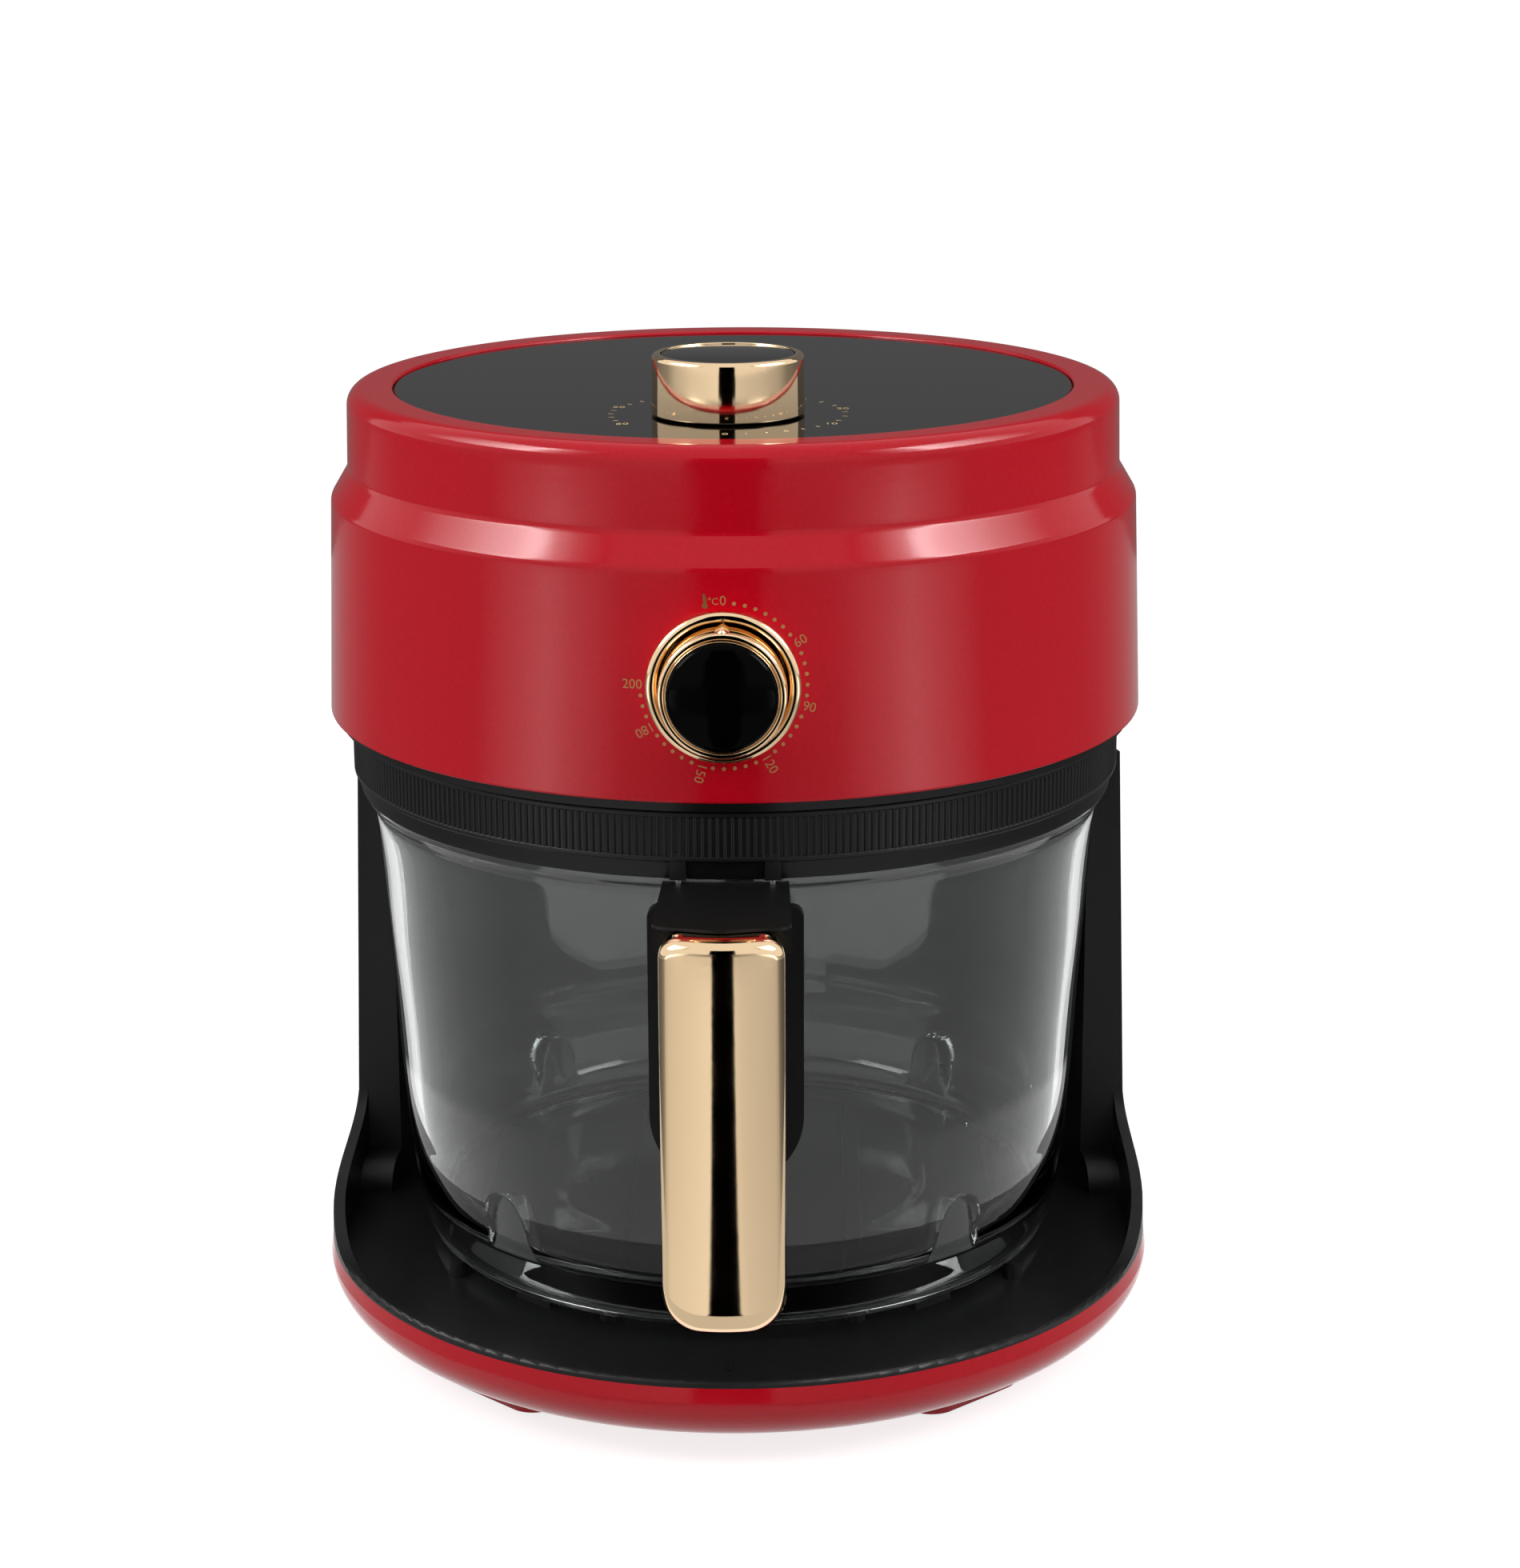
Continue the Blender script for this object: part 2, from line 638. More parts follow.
def settle_modifiers(piece, sharp=30.0):
    """Turns a piece's modifiers into plain mesh."""
    graph = bpy.context.evaluated_depsgraph_get()
    mesh = bpy.data.meshes.new_from_object(piece.evaluated_get(graph))
    piece.modifiers.clear()
    piece.data = mesh
    smooth(mesh, sharp)


def combine(piece, tool, operation="DIFFERENCE", sharp=30.0):
    """Cuts a tool out of a piece, or joins it on."""
    step = piece.modifiers.new("combine", "BOOLEAN")
    step.operation = operation
    step.solver = "EXACT"
    step.object = tool
    settle_modifiers(piece, sharp)
    bpy.data.objects.remove(tool)


def carry(piece, body, finish_slot, *replaced):
    """Hands a piece to its body, names its finish and hides the CAD nodes that it stands for."""
    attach(piece, body)
    if replaced:
        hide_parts(*replaced)
    print(piece.name, "on", body, "with", len(piece.data.polygons), "faces")


print("turning helpers are ready")

# %% [markdown]
# The drum is one pressed shell: a wide lower part that leans in a little, a sloping step, a narrower upper
# part, and a round-over down to the panel. It is turned, and then three openings are cut: for the dial's
# sleeve, for the column's spine, and for the air outlet behind.
# %% The red drum
SHELL_SECTION = [
    (127.5, 205.5, 0.7), (125.1, 272.6, 4.0), (119.8, 281.5, 4.5), (119.2, 306.0, 5.0), (105.2, 306.0, 0.8),
    (105.2, 302.4, 0), (99.8, 302.4, 0), (99.8, 299.8, 0), (114.0, 299.8, 0), (116.6, 297.0, 0),
    (117.2, 280.8, 0), (122.5, 271.9, 0), (124.9, 205.5, 0),
]
SLEEVE_HOLE_R = 20.3
SPINE_HALF_TURN = 15.3
SPINE_TOP = 221.9
OUTLET_HALF_TURN = 16.0
OUTLET_LOW = 226.0
OUTLET_HIGH = 262.0
BEHIND = 90.0
CUT_FROM = 110.0
CUT_TO = 140.0


def cut_behind(piece, name, half_turn, low, high):
    """Cuts a window through the wall behind, between two heights."""
    section = [(CUT_FROM, low), (CUT_TO, low), (CUT_TO, high), (CUT_FROM, high)]
    tool = turned(name, section, DRUM_AXIS, finishes["black_plastic"], 32, start=BEHIND - half_turn,
                  span=2 * half_turn)
    combine(piece, tool)


shell_outline = divided(rounded(SHELL_SECTION, 12), 2.6)
shell = turned("drum", shell_outline, DRUM_AXIS, finishes["red_enamel"], segments=360)
sleeve_hole = [(0, 95), (SLEEVE_HOLE_R, 95), (SLEEVE_HOLE_R, CUT_TO), (0, CUT_TO)]
combine(shell, turned("dial_hole", sleeve_hole, DIAL_AXIS, finishes["black_plastic"], 128))
cut_behind(shell, "spine_notch", SPINE_HALF_TURN, 204.0, SPINE_TOP)
cut_behind(shell, "grille_window", OUTLET_HALF_TURN, OUTLET_LOW, OUTLET_HIGH)
carry(shell, "stand", "red_enamel", "head_shell")

# %% [markdown]
# The timer's knob is a plain drum of plated plastic with a crisp inner lip, and a black disc lies in its top.
# It is hollow from below, as a moulded knob is.
# %% Timer knob
KNOB_SECTION = [
    (22.7, 305.7, 0.5), (22.33, 323.3, 1.5), (19.75, 323.3, 0.3), (19.75, 321.5, 0), (3.0, 321.5, 0),
    (3.0, 306.2, 0), (6.5, 306.2, 0), (6.5, 318.0, 0), (20.4, 318.0, 0), (20.4, 305.7, 0.2),
]
knob = turned("timer_grip", rounded(KNOB_SECTION, 10), TIMER_AXIS, finishes["gold_plating"], 192)
carry(knob, "timer_dial", "gold_plating", "timer_knob")
DISC_SECTION = [(0, 321.55, 0), (19.6, 321.55, 0.1), (19.6, 323.0, 0.3), (0, 323.0, 0)]
disc = turned("timer_disc", rounded(DISC_SECTION, 6), TIMER_AXIS, finishes["gloss_black"], 160)
carry(disc, "timer_dial", "gloss_black", "timer_knob_cap")

# %% [markdown]
# The temperature dial sits in a plated dish. The dish has a fat rounded rim and a hollow, and the knob stands
# in it: a straight skirt, a rounded front edge, a groove, a thin lip and a domed black cap. A small cusp on
# top of the skirt points at the numbers. All are turned about an axis that points forward.
# %% Temperature dial
DISH_SECTION = [
    (21.95, 123.6, 0), (21.95, 129.6, 1.5), (19.5, 129.6, 1.0), (18.4, 127.9, 0.4), (18.4, 121.6, 0),
    (4.6, 121.6, 0), (4.6, 119.9, 0), (19.9, 119.9, 0), (19.9, 123.6, 0),
]
dish = turned("dial_dish", rounded(DISH_SECTION, 12), DIAL_AXIS, finishes["gold_plating"], 192)
carry(dish, "stand", "gold_plating", "temperature_bezel")

SKIRT_SECTION = [
    (18.1, 122.6, 0.3), (18.1, 138.8, 0.9), (16.35, 138.8, 0.5), (16.2, 137.9, 0.15), (15.95, 137.9, 0.1),
    (15.9, 139.3, 0.12), (15.62, 139.3, 0.1), (15.62, 136.25, 0), (3.0, 136.25, 0), (3.0, 122.6, 0),
]
dial = turned("dial_grip", rounded(SKIRT_SECTION, 8), DIAL_AXIS, finishes["gold_plating"], 192)
cusp_side = flowing([(3.1, 17.8), (1.9, 18.02), (0.9, 18.55), (0.3, 19.2), (0.1, 19.68)], 5)
CUSP_ROOT = 17.0
cusp = cusp_side + [(-x, y) for x, y in reversed(cusp_side)] + [(-2.6, CUSP_ROOT), (2.6, CUSP_ROOT)]
# depths, and how much of the cusp's height is left at each
CUSP_DEPTHS = ((130.2, 1.0), (137.2, 1.0), (137.8, 0.86), (138.2, 0.6))
cusp_points = []
for depth, keep in CUSP_DEPTHS:
    for x, y in cusp:
        slim = x * (0.5 + 0.5 * keep)
        cusp_points.append(DIAL_AXIS @ Vector((slim, CUSP_ROOT + (y - CUSP_ROOT) * keep, depth)))
count = len(cusp)
cusp_faces = []
for ring in range(len(CUSP_DEPTHS) - 1):
    near, far = ring * count, (ring + 1) * count
    for i in range(count):
        after = (i + 1) % count
        cusp_faces.append((near + i, near + after, far + after, far + i))
cusp_faces += [tuple(range(count)), tuple(range(far, far + count))]
pointer = piece_from("dial_pointer", cusp_points, cusp_faces, finishes["gold_plating"], 40.0)
combine(dial, pointer, "UNION")
carry(dial, "temperature_dial", "gold_plating", "temperature_knob")

DOME_CURVE = [
    (15.45, 139.9), (15.1, 140.4), (14.3, 140.95), (12.0, 141.75), (8.0, 142.5), (4.0, 142.9), (0, 143.0),
]
DOME_SECTION = [(0, 136.3), (15.5, 136.3), (15.5, 139.5)] + flowing(DOME_CURVE, 4)
dome = turned("dial_dome", DOME_SECTION, DIAL_AXIS, finishes["dome_black"], 160, sharp=50.0)
carry(dome, "temperature_dial", "gloss_black", "temperature_knob_cap")

# %% [markdown]
# The grip's front is one plated shell. Seen from above it is bowed, its edge is rolled back all round with a
# small radius, and its top and its foot turn under in larger ones, which reach higher towards the corners.
# Each of these is a depth lost below the nose, and the losses add up, so the shell is a height field over its
# rounded outline, with more lines near the edges, where it bends.
# %% Plated grip
COVER_HALF = 17.6
COVER_LOW = 59.4
COVER_HIGH = 178.4
COVER_NOSE = 170.0
COVER_BOW = 33.5
COVER_EDGE = 2.6
COVER_TOP_CORNER = 6.8
COVER_FOOT_CORNER = 9.4
COVER_TOP_ROLL = 4.0
COVER_FOOT_ROLL = 9.0
COVER_ROLL_CORNER = 11.0
COVER_FOOT_LIFT = 0.8
COVER_TOP_LIFT = 0.4
COVER_BACK = 157.2
COVER_LEAST_DEPTH = 0.8
COVER_WALL = 1.6


def corner_loss(distance, radius):
    """How far a circle of a radius has fallen away at a distance from its end."""
    short = min(radius, max(0.0, radius - distance))
    return radius - sqrt(radius * radius - short * short)


def cover_half_width(height):
    top = corner_loss(COVER_HIGH - height, COVER_TOP_CORNER)
    foot = corner_loss(height - COVER_LOW, COVER_FOOT_CORNER)
    return COVER_HALF - max(top, foot)


def cover_depth(x, height):
    """How far before the drum's axis the shell lies."""
    x = abs(x)
    above_foot = height - COVER_LOW
    below_top = COVER_HIGH - height
    inside = min(COVER_HALF - x, below_top, above_foot)
    for corner, distance in ((COVER_TOP_CORNER, below_top), (COVER_FOOT_CORNER, above_foot)):
        over_x = x - (COVER_HALF - corner)
        over_z = corner - distance
        if over_x > 0 and over_z > 0:
            inside = min(inside, corner - hypot(over_x, over_z))
    bow = corner_loss(COVER_BOW - x, COVER_BOW)
    lift = corner_loss(COVER_HALF - x, COVER_ROLL_CORNER)
    foot = corner_loss(above_foot - COVER_FOOT_LIFT * lift, COVER_FOOT_ROLL)
    top = corner_loss(below_top - COVER_TOP_LIFT * lift, COVER_TOP_ROLL)
    edge = corner_loss(inside, COVER_EDGE)
    return max(COVER_NOSE - bow - edge - foot - top, COVER_BACK + COVER_LEAST_DEPTH)


COVER_ROWS = 200
COVER_COLUMNS = 72
COVER_CROWDING = 0.55
cover_points = []
for row in range(COVER_ROWS + 1):
    even = row / COVER_ROWS
    crowded = 0.5 - 0.5 * cos(pi * even)
    share = COVER_CROWDING * crowded + (1 - COVER_CROWDING) * even
    height = COVER_LOW + (COVER_HIGH - COVER_LOW) * share
    half = max(0.0, cover_half_width(height))
    line = [(-half, COVER_BACK)]
    for column in range(COVER_COLUMNS + 1):
        x = -half * cos(pi * column / COVER_COLUMNS)
        line.append((x, cover_depth(x, height)))
    line.append((half, COVER_BACK))
    cover_points += [(x, AXIS_Y - depth, height) for x, depth in line]
span = COVER_COLUMNS + 3
cover_faces = [
    (row * span + i, row * span + i + 1, (row + 1) * span + i + 1, (row + 1) * span + i)
    for row in range(COVER_ROWS) for i in range(span - 1)
]
cover_faces += [tuple(range(span)), tuple(range(COVER_ROWS * span, (COVER_ROWS + 1) * span))]
grip = piece_from("grip_cover", cover_points, cover_faces, finishes["gold_plating"], 35.0)
skin = grip.modifiers.new("skin", "SOLIDIFY")
skin.thickness = COVER_WALL * MM
skin.offset = -1.0
settle_modifiers(grip, 35.0)
carry(grip, "pot", "gold_plating", "handle_cover")

# %% [markdown]
# The bowl is one pressing. It is turned from its section like the drum, but the inner wall also carries four
# lugs, on which an insert would stand. They are pushed in from the wall point by point: a point belongs to a
# lug when it lies inside the lug's outline, and a short ramp at the outline makes the rounded flank that the
# glass shows as a bright line. The mesh is fine near the lugs and coarse between them.
# %% Glass bowl
LUG_AZIMUTHS = (47.0, 133.0, 227.0, 313.0)
LUG_HALF = 12.0
LUG_SHOULDER = 54.0
LUG_SHOULDER_HALF = 8.6
LUG_TOP = 66.0
LUG_FACE_R = 95.0
LUG_FLANK = 1.3
LUG_ARCH = 2.2
LUG_FLARE = 1.6
LUG_TOP_SLOPE = 0.8
BOWL_FLOOR = 42.0
BOWL_FLOOR_R = 84.0

outer_wall = flowing([
    (101.9, 35.4), (103.9, 41.0), (106.2, 56.0), (108.6, 84.0), (110.6, 119.0), (112.5, 146.0),
    (114.3, 170.0), (115.4, 175.0), (117.6, 178.6),
], 8)
rim = rounded([(117.9, 178.6, 0), (117.6, 184.0, 3.2), (110.2, 184.0, 1.6), (109.9, 176.0, 0)], 12)[1:-1]
inner_wall = flowing([
    (109.8, 170.0), (108.0, 146.0), (106.2, 119.0), (104.0, 84.0), (102.6, 68.0), (101.4, 58.0), (97.4, 47.6),
    (91.6, 43.4), (BOWL_FLOOR_R, BOWL_FLOOR),
], 26)
foot = rounded([(90.0, 32.8, 0.8), (101.9, 32.8, 2.6), (101.9, 35.4, 0)], 8)
bowl_section = foot[:-1] + outer_wall + rim + inner_wall + [(0, BOWL_FLOOR), (0, 33.8), (88.0, 33.8)]
inner_rows = range(len(foot) - 1 + len(outer_wall) + len(rim), len(bowl_section) - 3)


def ramp(value):
    """A smooth step from 0 to 1."""
    value = min(1.0, max(0.0, value))
    return value * value * (3 - 2 * value)


def lug_reach(offset, radius, height):
    """How far the wall is pushed in, at an offset along the wall from a lug's middle."""
    if height > LUG_TOP:
        return 0.0
    if height > LUG_SHOULDER:
        climb = (height - LUG_SHOULDER) / (LUG_TOP - LUG_SHOULDER)
        half = LUG_SHOULDER_HALF * sqrt(max(0.0, 1 - climb ** LUG_ARCH))
    else:
        drop = (LUG_SHOULDER - height) / (LUG_SHOULDER - BOWL_FLOOR)
        half = LUG_SHOULDER_HALF + (LUG_HALF - LUG_SHOULDER_HALF) * drop ** LUG_FLARE
    inside = min(half - abs(offset), LUG_TOP_SLOPE * (LUG_TOP - height))
    return max(0.0, radius - LUG_FACE_R) * ramp(inside / LUG_FLANK)


LUG_REGION = 16.0
LUG_STEPS = 90
GAP_STEPS = 36
bowl_turns = []
for first, last in zip(LUG_AZIMUTHS, LUG_AZIMUTHS[1:] + (LUG_AZIMUTHS[0] + 360,)):
    lug_start = first - LUG_REGION / 2
    gap = last - first - LUG_REGION
    bowl_turns += [lug_start + LUG_REGION * step / LUG_STEPS for step in range(LUG_STEPS)]
    bowl_turns += [lug_start + LUG_REGION + gap * step / GAP_STEPS for step in range(GAP_STEPS)]
bowl_rows = len(bowl_section)
bowl_points = []
for turn in bowl_turns:
    nearest = min(((turn - lug + 180) % 360 - 180 for lug in LUG_AZIMUTHS), key=abs)
    for row, (radius, height) in enumerate(bowl_section):
        if row in inner_rows:
            radius -= lug_reach(radians(nearest) * radius, radius, height)
        at = Vector((radius * cos(radians(turn)), radius * sin(radians(turn)), height))
        bowl_points.append(DRUM_AXIS @ at)
columns = len(bowl_turns)
bowl_faces = []
for column in range(columns):
    near, far = column * bowl_rows, (column + 1) % columns * bowl_rows
    for row in range(bowl_rows):
        above = (row + 1) % bowl_rows
        bowl_faces.append((near + row, far + row, far + above, near + above))
bowl = piece_from("bowl", bowl_points, bowl_faces, finishes["bowl_glass"], 50.0)
carry(bowl, "pot", "bowl_glass", "glass_bowl")

# %% [markdown]
# Small marks repeat all over this cooker: the ribs of the collar, the dots round the dial, the dashes round
# the timer. Geometry Nodes are made for that. One tree puts marks along an arc: an arc with as many points as
# there are marks, a small upright bar on each point, turned to the radius, then Realize Instances and Set
# Material. The same tree makes a dot, a dash or a rib, because its sizes are inputs.
# %% One tree for marks along an arc
def marks_tree():
    tree = bpy.data.node_groups.new("marks_on_arc", "GeometryNodeTree")
    tree.interface.new_socket("Geometry", in_out="OUTPUT", socket_type="NodeSocketGeometry")
    kinds = {"Count": "Int", "Sides": "Int", "Finish": "Material"}
    for name in ("Count", "Sides", "Radius", "Start", "Sweep", "Length", "Width", "Depth", "Finish"):
        kind = "NodeSocket" + kinds.get(name, "Float")
        tree.interface.new_socket(name, in_out="INPUT", socket_type=kind)
    wire = Wire(tree)
    given = tree.nodes.new("NodeGroupInput").outputs
    given = {socket.name: Wire(tree, socket) for socket in given}
    arc = wire.node(
        "GeometryNodeCurveArc", {"mode": "RADIUS"}, Resolution=given["Count"], Radius=given["Radius"],
        Start_Angle=given["Start"], Sweep_Angle=given["Sweep"],
    )
    points = wire.node("GeometryNodeCurveToPoints", {"mode": "EVALUATED"}, Curve=arc)
    mark = wire.node("GeometryNodeMeshCylinder", Vertices=given["Sides"], Radius=0.5, Depth=1.0)
    place = wire.node("GeometryNodeInputPosition")
    turn = wire.node("FunctionNodeAlignRotationToVector", {"axis": "X", "pivot_axis": "Z"}, Vector=place)
    size = wire.node("ShaderNodeCombineXYZ", X=given["Length"], Y=given["Width"], Z=given["Depth"])
    row = wire.node("GeometryNodeInstanceOnPoints", Points=points, Instance=mark, Rotation=turn, Scale=size)
    solid = wire.node("GeometryNodeRealizeInstances", Geometry=row)
    dressed = wire.node("GeometryNodeSetMaterial", Geometry=solid, Material=given["Finish"])
    result = tree.nodes.new("NodeGroupOutput")
    tree.links.new(dressed.socket, result.inputs["Geometry"])
    return tree


MARKS = marks_tree()


def marks(count, radius, first, last, length, width, depth, finish, sides=12):
    """Flat marks in millimetres, from a first to a last angle, clockwise from the top, as a plain mesh."""
    holder = bpy.data.objects.new("marks", bpy.data.meshes.new("marks"))
    bpy.context.scene.collection.objects.link(holder)
    step = holder.modifiers.new("marks", "NODES")
    step.node_group = MARKS
    values = {
        "Count": count, "Sides": sides, "Radius": radius, "Start": radians(90 - first),
        "Sweep": radians(first - last), "Length": length, "Width": width, "Depth": depth, "Finish": finish,
    }
    for socket in MARKS.interface.items_tree:
        if socket.in_out == "INPUT":
            step[socket.identifier] = values[socket.name]
    graph = bpy.context.evaluated_depsgraph_get()
    mesh = bpy.data.meshes.new_from_object(holder.evaluated_get(graph))
    bpy.data.objects.remove(holder)
    return mesh


print("marks tree has", len(MARKS.nodes), "nodes")

# %% [markdown]
# The collar grips the rim of the glass. It is turned a little slimmer than its ribs, and the tree above adds
# the ribs all round: upright half-round bars, three hundred and fifty of them, sunk into the ring. Two small
# bosses in front take the screws of the handle's bracket.
# %% Ribbed collar
COLLAR_SECTION = [
    (118.0, 180.5, 0), (118.8, 180.5, 0.4), (120.1, 185.9, 0.4), (121.0, 186.5, 0.3), (121.0, 187.5, 0.3),
    (120.5, 187.9, 0), (120.5, 199.2, 0), (121.0, 199.6, 0.3), (121.0, 201.5, 1.3), (107.5, 201.5, 1.4),
    (107.5, 186.0, 0), (113.5, 186.0, 0), (113.5, 199.1, 0), (118.4, 199.1, 0), (118.4, 184.0, 0),
]
RIB_COUNT = 350
RIB_RING_R = 120.45
RIB_DEPTH = 1.1
RIB_WIDTH = 1.25
RIB_HEIGHT = 12.2
RIB_MIDDLE_Z = 193.55
BOSS_SECTION = [(117.5, 180.7), (120.85, 180.7), (120.85, 189.0), (117.5, 189.0)]
BOSS_TURNS = (263.5, 276.5)
BOSS_SPAN = 2.2
collar_outline = divided(rounded(COLLAR_SECTION, 6), 3.0)
collar = turned("collar_ring", collar_outline, DRUM_AXIS, finishes["black_plastic"], 256)
for turn in BOSS_TURNS:
    boss = turned("boss", BOSS_SECTION, DRUM_AXIS, finishes["black_plastic"], 6, start=turn - BOSS_SPAN / 2,
                  span=BOSS_SPAN)
    combine(collar, boss, "UNION")
last_rib = 360.0 * (RIB_COUNT - 1) / RIB_COUNT
ribs = marks(RIB_COUNT, RIB_RING_R, 0, last_rib, RIB_DEPTH, RIB_WIDTH, RIB_HEIGHT, finishes["black_plastic"],
             sides=8)


def join_meshes(name, meshes, finish, sharp=30.0):
    """One object from several flat meshes in millimetres."""
    work = bmesh.new()
    for mesh in meshes:
        work.from_mesh(mesh)
        bpy.data.meshes.remove(mesh)
    bmesh.ops.recalc_face_normals(work, faces=work.faces)
    joined = bpy.data.meshes.new(name)
    work.to_mesh(joined)
    work.free()
    joined.materials.clear()
    joined.materials.append(finish)
    smooth(joined, sharp)
    made = bpy.data.objects.new(name, joined)
    bpy.context.scene.collection.objects.link(made)
    return made


ribs.transform(Matrix.Scale(MM, 4) @ Matrix.Translation((0, AXIS_Y, RIB_MIDDLE_Z)))
rib_ring = join_meshes("collar_ribs", [ribs], finishes["black_plastic"], 50.0)
carry(collar, "pot", "black_plastic", "collar")
carry(rib_ring, "pot", "black_plastic")

# %% [markdown]
# The dial's scale and the timer's scale are printed in gold. A print is a film, so letters, dots and dashes
# are made flat as thin closed solids in millimetres, and only then laid on their surface: the dial's print is
# wrapped round the leaning wall of the drum, and the timer's lies on the panel. The font is Blender's own.
# %% Gold ink and flat letters
def gold_ink(name, colour):
    shader, wire, place = start_finish(name, Specular_IOR_Level=0.3, Metallic=0.35)
    plug(
        shader,
        Base_Color=blend_colours(
            wire, mottle(wire, place, 700.0, 0.0, 1.0), shaded(colour, 0.85), shaded(colour, 1.1)
        ),
        Roughness=mottle(wire, place, 300.0, 0.4, 0.5),
    )
    return finishes[name]


INK_DEPTH = 0.16
INK_PROUD = 0.04
CAP_HEIGHT = 0.69
dial_ink = gold_ink("dial_ink", (0.48, 0.22, 0.085))
panel_ink = gold_ink("panel_ink", (0.85, 0.62, 0.32))


def letters(text, height, x, y, turn=0.0):
    """A word as a thin flat mesh: its capitals' height, its middle, and its turn anticlockwise in degrees."""
    curve = bpy.data.curves.new(text, "FONT")
    curve.body = text
    curve.size = height / CAP_HEIGHT
    curve.align_x = "CENTER"
    curve.align_y = "CENTER"
    curve.resolution_u = 3
    curve.extrude = INK_DEPTH / 2
    holder = bpy.data.objects.new(text, curve)
    bpy.context.scene.collection.objects.link(holder)
    bpy.context.view_layer.update()
    graph = bpy.context.evaluated_depsgraph_get()
    mesh = bpy.data.meshes.new_from_object(holder.evaluated_get(graph))
    bpy.data.objects.remove(holder)
    work = bmesh.new()
    work.from_mesh(mesh)
    bmesh.ops.remove_doubles(work, verts=work.verts, dist=1e-4)
    work.to_mesh(mesh)
    work.free()
    mesh.transform(Matrix.Translation((x, y, 0)) @ Matrix.Rotation(radians(turn), 4, "Z"))
    return mesh


def clock_point(radius, angle):
    """A point at an angle clockwise from the top."""
    return radius * sin(radians(angle)), radius * cos(radians(angle))


print("ink and letters are ready")

# %% [markdown]
# The dial's scale has thirty-seven places, seven and a half degrees apart, and a number takes the place of a
# dot at each change of step. The numbers read outwards along the radius, except the first and the last.
# %% Dial print
STEP = 7.5
DOT_R = 23.75
DOT_SIZE = 1.15
DIAL_NUMBERS = (
    ("0", 0.0), ("60", 60.0), ("90", 105.0), ("120", 150.0), ("150", 195.0), ("180", 240.0), ("200", 270.0),
)
UPRIGHT_ANGLES = (0.0, 270.0)
NUMBER_R = {1: 24.3, 2: 25.1, 3: 25.9}
NUMBER_HEIGHT = 2.7
UNIT_HEIGHT = 1.9
UNIT_PLACE = (-2.75, 24.1)
dial_parts = []
for (_, first), (_, last) in zip(DIAL_NUMBERS, DIAL_NUMBERS[1:]):
    dots = round((last - first) / STEP) - 1
    dial_parts.append(marks(dots, DOT_R, first + STEP, last - STEP, DOT_SIZE, DOT_SIZE, INK_DEPTH, dial_ink))
for text, angle in DIAL_NUMBERS:
    x, y = clock_point(NUMBER_R[len(text)], angle)
    dial_parts.append(letters(text, NUMBER_HEIGHT, x, y, 0.0 if angle in UPRIGHT_ANGLES else 90 - angle))
dial_parts.append(letters("°C", UNIT_HEIGHT, *UNIT_PLACE))

# a small thermometer: a stem with a round bulb, each one mark at its radius and angle
STEM_R, STEM_ANGLE, STEM_LENGTH, STEM_WIDTH = 25.2, -11.6, 3.6, 1.0
BULB_R, BULB_ANGLE, BULB_SIZE = 23.5, -12.4, 1.7
dial_parts.append(marks(1, STEM_R, STEM_ANGLE, STEM_ANGLE, STEM_LENGTH, STEM_WIDTH, INK_DEPTH, dial_ink))
dial_parts.append(marks(1, BULB_R, BULB_ANGLE, BULB_ANGLE, BULB_SIZE, BULB_SIZE, INK_DEPTH, dial_ink))

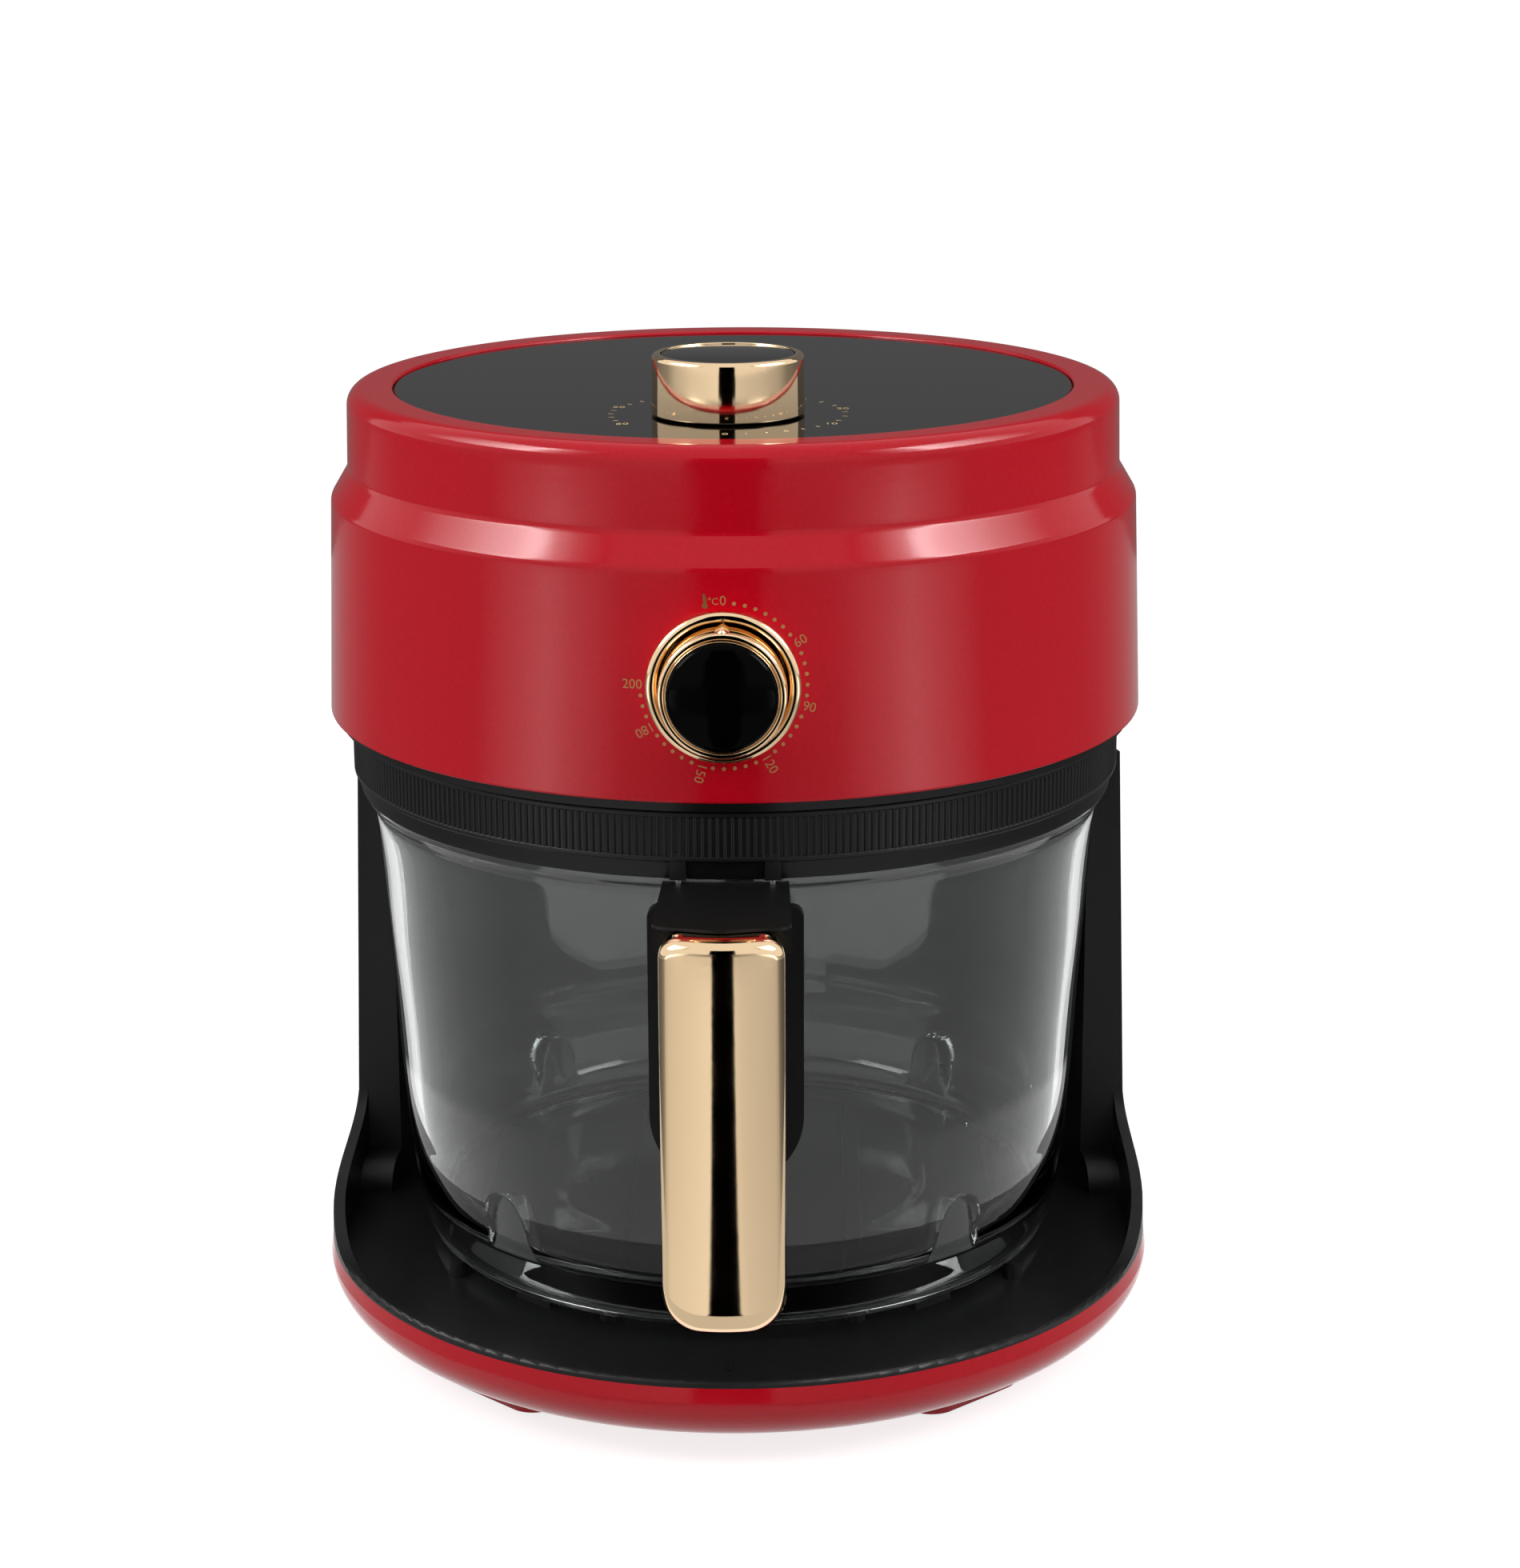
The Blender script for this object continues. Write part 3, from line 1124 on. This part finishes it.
WALL_LOW = (127.5, 205.5)
WALL_HIGH = (125.1, 272.6)
dial_print = join_meshes("dial_print", dial_parts, dial_ink)
for vertex in dial_print.data.vertices:
    x, y, lift = vertex.co
    height = DIAL_Z + y
    share = (height - WALL_LOW[1]) / (WALL_HIGH[1] - WALL_LOW[1])
    radius = WALL_LOW[0] + (WALL_HIGH[0] - WALL_LOW[0]) * share
    turn = x / radius
    radius += lift - INK_DEPTH / 2 + INK_PROUD
    vertex.co = Vector((radius * sin(turn), AXIS_Y - radius * cos(turn), height)) * MM
dial_print.data.update()
carry(dial_print, "stand", "gold_plating")

# %% [markdown]
# Round the timer the panel carries a ring of minutes. It starts with a zero nearest the cook and runs round
# the knob, with short dashes and a number now and then.
# %% Timer print
TIMER_RING_R = 34.5
MINUTE_R = 34.9
DASH_STEP = 10
DASH_LENGTH = 1.8
DASH_WIDTH = 0.5
PANEL_INK_PROUD = 0.03
MINUTES = (
    ("0", 0.0), ("5", 30.0), ("10", 60.0), ("20", 105.0), ("30", 150.0), ("40", 200.0), ("50", 250.0),
    ("60", 300.0),
)
timer_parts = []
for (_, first), (_, last) in zip(MINUTES, MINUTES[1:]):
    dashes = round((last - first) / DASH_STEP) - 1
    first_mark = 180 - first - DASH_STEP
    last_mark = 180 - last + DASH_STEP
    timer_parts.append(marks(dashes, TIMER_RING_R, first_mark, last_mark, DASH_LENGTH, DASH_WIDTH, INK_DEPTH,
                             panel_ink))
for text, angle in MINUTES:
    x, y = clock_point(MINUTE_R, 180 - angle)
    timer_parts.append(letters(text, NUMBER_HEIGHT, x, y))
timer_print = join_meshes("timer_print", timer_parts, panel_ink)
print_base = PANEL_TOP + PANEL_INK_PROUD - INK_DEPTH / 2
timer_print.data.transform(Matrix.Scale(MM, 4) @ Matrix.Translation((0, AXIS_Y + TIMER_Y, print_base)))
carry(timer_print, "stand", "gold_plating")

# %% [markdown]
# The last step measures the finished model against the CAD box, and hands the table of pieces to the frame.
# %% Measure and finish
bpy.context.scene.view_settings.view_transform = "Standard"
bpy.context.view_layer.update()
